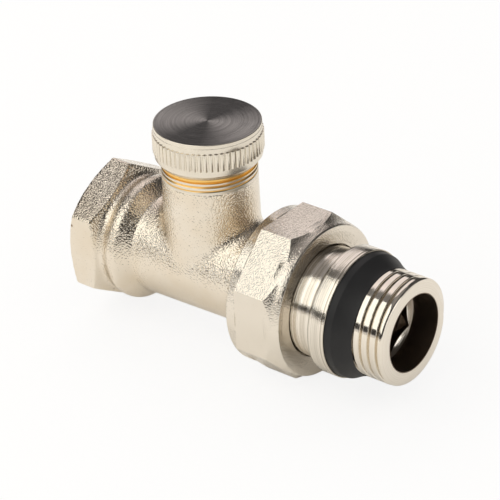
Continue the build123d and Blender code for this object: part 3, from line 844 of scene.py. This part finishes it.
def cap_metal():
    """Satin nickel on the sides; a turned face painted dark as a reflection, with two
    painted highlight sectors.
    """
    material, tree = new_material("cap_nickel")
    spot = object_spot(tree)
    x, y, z = split(tree, spot)
    radius = from_axis(tree, x, y)
    maths = partial(sum_of, tree)
    face_z = [cap_high.z - below for below in FACE_BELOW_TOP]
    face_r = [CAP_FACE_R - within for within in FACE_FROM_RIM]
    high = spread(tree, z, *face_z, 0.0, 1.0)
    inside = spread(tree, radius, *face_r, 1.0, 0.0)
    face = maths("MULTIPLY", high, inside)
    lathe = joined(tree, radius, maths("MULTIPLY", x, FACE_MARK_DRIFT), 0.0)
    marks = noise(tree, lathe, FACE_MARKS, 3.0, 0.7)
    clouds = noise(tree, spot, CAP_CLOUDS, 2.0, 0.5)
    grain = noise(tree, spot, CAP_GRAIN, 2.0, 0.6)
    side = blend_colours(tree, clouds, SATIN_DEEP, SATIN_LIGHT)
    # Painted highlight: two lighter sectors across the face, set by direction, stand in
    # for the lamps mirrored in its turned rings.
    toward_highlight = maths("MULTIPLY_ADD", y, HIGHLIGHT_SECTOR_Y, maths("MULTIPLY", x, HIGHLIGHT_SECTOR_X))
    toward_highlight = maths("DIVIDE", toward_highlight, maths("MAXIMUM", radius, 0.1 * MM))
    highlight_sector = maths("MULTIPLY", toward_highlight, toward_highlight)
    highlight_sector = spread(tree, highlight_sector, HIGHLIGHT_SECTOR_FROM, 1.0, 0.0, 1.0)
    # Painted reflection: the face's dark colours stand in for the dark room that the
    # nickel mirrors.
    dark_reflection = blend_colours(tree, marks, *FACE_PAINTED_DARK_REFLECTION)
    painted_highlight = blend_colours(tree, marks, *FACE_PAINTED_HIGHLIGHT)
    colour = blend_colours(tree, face, side, blend_colours(tree, highlight_sector, dark_reflection, painted_highlight))
    turning = maths("MULTIPLY", maths("MULTIPLY", marks, face), FACE_MARK_HEIGHT)
    height = maths("MULTIPLY_ADD", grain, CAP_GRAIN_HEIGHT, turning)
    rough = spread(tree, face, 0.0, 1.0, *CAP_ROUGHNESS)
    return finish_surface(material, colour, rough, height, depth=0.012 * MM)


cap_nickel = cap_metal()
band = CAP_GRIP_R - GRIP_BAR_HEIGHT
cap_body = rounded_turning("cap_cup", [
    (cap_low.z, CAP_HOLLOW + CAP_HOLLOW_DRAFT),
    (cap_low.z, CAP_FOOT_R),
    (CAP_SKIRT_HIGH, CAP_SKIRT_R),
    (CAP_GRIP_LOW, band),
    (CAP_GRIP_HIGH, band),
    (CAP_GRIP_HIGH, CAP_FACE_R + CAP_RIM_STEP),
    (cap_high.z - CAP_RIM_HEIGHT, CAP_FACE_R + CAP_RIM_STEP),
    (cap_high.z - CAP_RIM_HEIGHT, CAP_FACE_R),
    (cap_high.z - CAP_EDGE, CAP_FACE_R),
    (cap_high.z, CAP_FACE_R - CAP_EDGE),
    (cap_high.z, 0.0),
    (cap_high.z - CAP_ROOF, 0.0),
    (cap_high.z - CAP_ROOF, CAP_HOLLOW),
], "Z", CAP_EDGE, around=240)
finish_with(cap_body, cap_nickel)
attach(cap_body, "cap")
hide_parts("cap")


def knurled_grip():
    """Geometry tree of straight bars stood round a band."""
    tree, given = open_tree(
        "knurled grip",
        {
            "Radius": 0.01, "Low": 0.02, "High": 0.024,
            "Bar width": 0.001, "Bar height": 0.0003,
        },
        {"Bars": 60},
    )
    maths = partial(sum_of, tree)

    # One bar, lower towards its sides.
    length = maths("SUBTRACT", given["High"], given["Low"])
    thick = maths("MULTIPLY", given["Bar height"], 2.0)
    size = joined(tree, thick, given["Bar width"], length)
    bar = node(tree, "GeometryNodeMeshCube", size, 2, 8, 2).outputs["Mesh"]
    across = point_place(tree)[1]
    across = maths("DIVIDE", across, maths("MULTIPLY", given["Bar width"], 0.5))
    fall = maths("MULTIPLY", maths("MULTIPLY", across, across), -GRIP_BAR_CROWN)
    fall = maths("MULTIPLY", fall, given["Bar height"])
    fall = joined(tree, fall, 0.0, 0.0)
    bar = node(tree, "GeometryNodeSetPosition", bar, None, None, fall).outputs[0]

    # A circle of points that the bars stand on, each turned to face outwards.
    ring = node(tree, "GeometryNodeMeshCircle", given["Bars"], given["Radius"])
    middle = maths("MULTIPLY", maths("ADD", given["High"], given["Low"]), 0.5)
    raised = node(tree, "GeometryNodeTransform", ring.outputs["Mesh"])
    feed(tree, raised.inputs["Translation"], joined(tree, 0.0, 0.0, middle))
    x, y, _ = point_place(tree)
    facing = joined(tree, 0.0, 0.0, maths("ARCTAN2", y, x))
    bars = node(tree, "GeometryNodeInstanceOnPoints", raised.outputs[0])
    feed(tree, bars.inputs["Instance"], bar)
    feed(tree, bars.inputs["Rotation"], facing)
    close_tree(tree, given, bars.outputs[0])
    return tree


grip = grow("cap_grip", knurled_grip(), cap_nickel, {
    "Radius": band, "Low": CAP_GRIP_LOW + GRIP_BAR_GAP, "High": CAP_GRIP_HIGH,
    "Bars": GRIP_BARS, "Bar width": GRIP_BAR_WIDTH, "Bar height": GRIP_BAR_HEIGHT,
})
break_edges(grip, GRIP_BAR_EDGE, angle=50, segments=2)
shade(grip, THREAD_CRISP)
finish_with(grip, cap_nickel)
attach(grip, "cap")


# Inner brass pieces: the headwork insert, the spindle, the disc's holder, washer and
# screw. Turned from bar and left unplated, as the pieces under the cap are.
bare_brass = turned_nickel(
    "bare_brass", line_size=0.12 * MM, line_depth=0.008 * MM, roughness=0.24,
    light=(0.90, 0.66, 0.28, 1), deep=(0.78, 0.52, 0.20, 1), axis="Z",
)


def dress(names, material):
    """Give carried-over solids a better material."""
    for name in names:
        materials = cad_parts[name].data.materials
        materials.clear()
        materials.append(material)


dress(
    ("bonnet", "regulating_spindle", "disc_holder", "disc_washer", "disc_screw"),
    bare_brass,
)


# Rubber pieces inside: the rings that seal the insert, the spindle and the tail, the
# disc that closes on the seat and the flat ring in the cap's roof.
dress(("bonnet_o_ring", "lower_spindle_o_ring", "upper_spindle_o_ring"), black_rubber)
dress(("seat_disc", "cap_seal", "tail_o_ring"), black_rubber)


# White table, round and wide, which the valve rests on. It shows white to the camera
# and keeps the valve's soft shadow.
TABLE_R = 1.2
TABLE_THICKNESS = 5 * MM
TABLE_GLOW = 0.84
TABLE_ROUGHNESS = 0.8
TABLE_SHEEN = 0.1
TABLE_WHITES = (0.90, 0.885, 0.86, 1), (0.92, 0.905, 0.88, 1)
PAPER_FINENESS = 900.0
table_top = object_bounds()[0].z
table = turned("table", [
    (table_top - TABLE_THICKNESS, 0.0),
    (table_top - TABLE_THICKNESS, TABLE_R),
    (table_top, TABLE_R),
    (table_top, 0.0),
], "Z", around=96)
white, white_tree = new_material("white_table")
paper = noise(white_tree, object_spot(white_tree), PAPER_FINENESS, 2.0, 0.5)
tint = blend_colours(white_tree, paper, *TABLE_WHITES)
matte = white_tree.nodes["Principled BSDF"]
feed(white_tree, matte.inputs["Base Color"], tint)
matte.inputs["Roughness"].default_value = TABLE_ROUGHNESS
matte.inputs["Specular IOR Level"].default_value = TABLE_SHEEN
glow = node(white_tree, "ShaderNodeEmission", (1, 1, 1, 1), 1.0).outputs[0]
to_camera = white_tree.nodes.new("ShaderNodeLightPath").outputs["Is Camera Ray"]
glow_share = sum_of(white_tree, "MULTIPLY", to_camera, TABLE_GLOW)
seen_floor = node(
    white_tree, "ShaderNodeMixShader", glow_share, matte.outputs[0], glow
).outputs[0]
feed(white_tree, white_tree.nodes["Material Output"].inputs["Surface"], seen_floor)
table.data.materials.append(white)


# Soft studio light: a soft box in front on the left, one behind on the left and a low
# strip on the right, in a pale room with the dark gaps between lamps that metal
# mirrors. The bands give the room's brightness from the floor's line up to overhead.
AMBIENT = 0.76
ROOM_LOW = (0.74, 0.71, 0.66, 1)
ROOM_HIGH = (0.30, 0.28, 0.27, 1)
ROOM_BANDS = (0.05, 0.72), (0.07, 0.05), (0.6, 0.08), (0.75, 0.05), (0.85, 0.20)


def soft_box(name, azimuth, height, distance, wide, tall, radiance, colour):
    """A rectangular lamp at a direction from the valve, of a set brightness."""
    turn, tilt = math.radians(azimuth), math.radians(height)
    lamp = bpy.data.lights.new(name, "AREA")
    lamp.shape = "RECTANGLE"
    lamp.size = wide
    lamp.size_y = tall
    lamp.energy = radiance * math.pi * wide * tall
    lamp.color = colour
    made = bpy.data.objects.new(name, lamp)
    way = Vector((
        math.sin(turn) * math.cos(tilt), -math.cos(turn) * math.cos(tilt), math.sin(tilt)
    ))
    made.location = way * distance
    made.rotation_mode = "QUATERNION"
    made.rotation_quaternion = way.to_track_quat("Z", "Y")
    scene.collection.objects.link(made)


soft_box(
    "front_soft_box", azimuth=-20, height=41, distance=0.8,
    wide=1.05, tall=0.78, radiance=1.35, colour=(1.0, 0.98, 0.92),
)
soft_box(
    "back_soft_box", azimuth=-132, height=42, distance=0.9,
    wide=0.70, tall=0.75, radiance=0.9, colour=(1.0, 0.92, 0.91),
)
soft_box(
    "edge_soft_box", azimuth=95, height=5, distance=1.2,
    wide=0.9, tall=0.14, radiance=1.5, colour=(1.0, 0.99, 0.97),
)

world = bpy.data.worlds.new("studio")
scene.world = world
world.use_nodes = True
room = world.node_tree
room.nodes.clear()
direction = room.nodes.new("ShaderNodeTexCoord").outputs["Generated"]
by_height = node(room, "ShaderNodeValToRGB", split(room, direction)[2])
ramp = by_height.color_ramp
ramp.elements[0].position = 0.0
ramp.elements[0].color = ROOM_LOW
ramp.elements[1].position = 1.0
ramp.elements[1].color = ROOM_HIGH
for position, grey in ROOM_BANDS:
    ramp.elements.new(position).color = (grey, grey * 0.95, grey * 0.92, 1)
seen, mirrored, ambient = (
    node(room, "ShaderNodeBackground", colour, strength).outputs[0]
    for colour, strength in (
        ((1, 1, 1, 1), 1.0),
        (by_height.outputs[0], 1.0),
        ((1, 0.985, 0.955, 1), AMBIENT),
    )
)
rays = room.nodes.new("ShaderNodeLightPath").outputs
unseen = node(
    room, "ShaderNodeMixShader", rays["Is Glossy Ray"], ambient, mirrored
).outputs[0]
all_rays = node(
    room, "ShaderNodeMixShader", rays["Is Camera Ray"], unseen, seen
).outputs[0]
node(room, "ShaderNodeOutputWorld", all_rays)

scene.view_settings.view_transform = "Standard"
